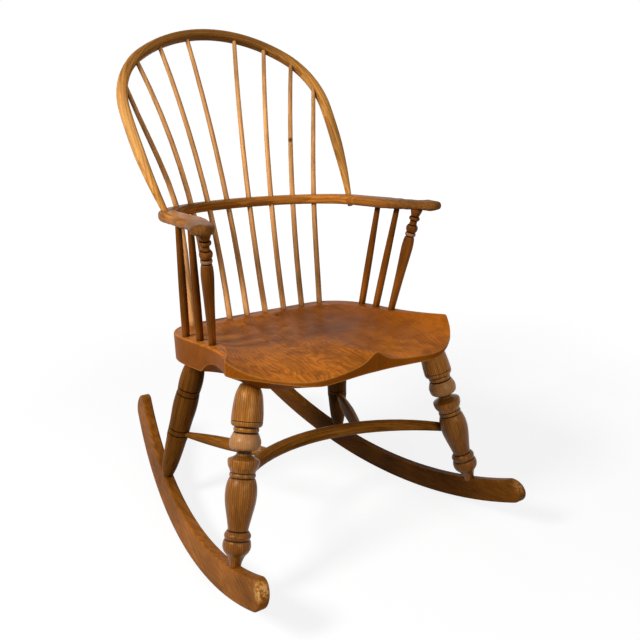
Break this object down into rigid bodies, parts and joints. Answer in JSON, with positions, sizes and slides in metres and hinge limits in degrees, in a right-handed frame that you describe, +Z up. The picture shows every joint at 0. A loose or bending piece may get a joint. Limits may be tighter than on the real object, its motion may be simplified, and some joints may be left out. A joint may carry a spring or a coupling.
{
  "type": "rocking chair",
  "caption": "Windsor rocking chair with a bent hoop back, spindles, a bent arm bow with turned supports, a saddled wooden seat, turned legs, a curved stretcher and two rockers.",
  "frame": {"origin": "on the floor, under the middle of the chair's box, as the chair stands at rest on its rockers", "axes": "+Z up, -Y the way a sitter faces, +X to the right as seen from the front"},
  "size_m": [0.6526, 0.7996, 0.9962],
  "materials": {
    "seat": "waxed satin elm",
    "bent_wood": "waxed satin ash",
    "spindle": "waxed satin ash",
    "turned_wood": "waxed satin beech",
    "stretcher": "waxed satin beech",
    "rocker": "waxed satin ash",
    "wedge": "end grain, dark"
  },
  "bodies": {
    "root": {"arm_bow": "bent_wood", "arm_spindle_front_left": "spindle", "arm_spindle_front_right": "spindle", "arm_spindle_rear_left": "spindle", "arm_spindle_rear_right": "spindle", "arm_support_left": "turned_wood", "arm_support_right": "turned_wood", "back_hoop": "bent_wood", "back_spindle_1_left": "spindle", "back_spindle_1_right": "spindle", "back_spindle_2_left": "spindle", "back_spindle_2_right": "spindle", "back_spindle_3_left": "spindle", "back_spindle_3_right": "spindle", "back_spindle_4_left": "spindle", "back_spindle_4_right": "spindle", "crinoline_stretcher": "stretcher", "front_leg_left": "turned_wood", "front_leg_right": "turned_wood", "hoop_wedges": "wedge", "rear_leg_left": "turned_wood", "rear_leg_right": "turned_wood", "rocker_left": "rocker", "rocker_right": "rocker", "seat": "seat", "spur_stretcher_left": "stretcher", "spur_stretcher_right": "stretcher"}
  },
  "joints": []
}
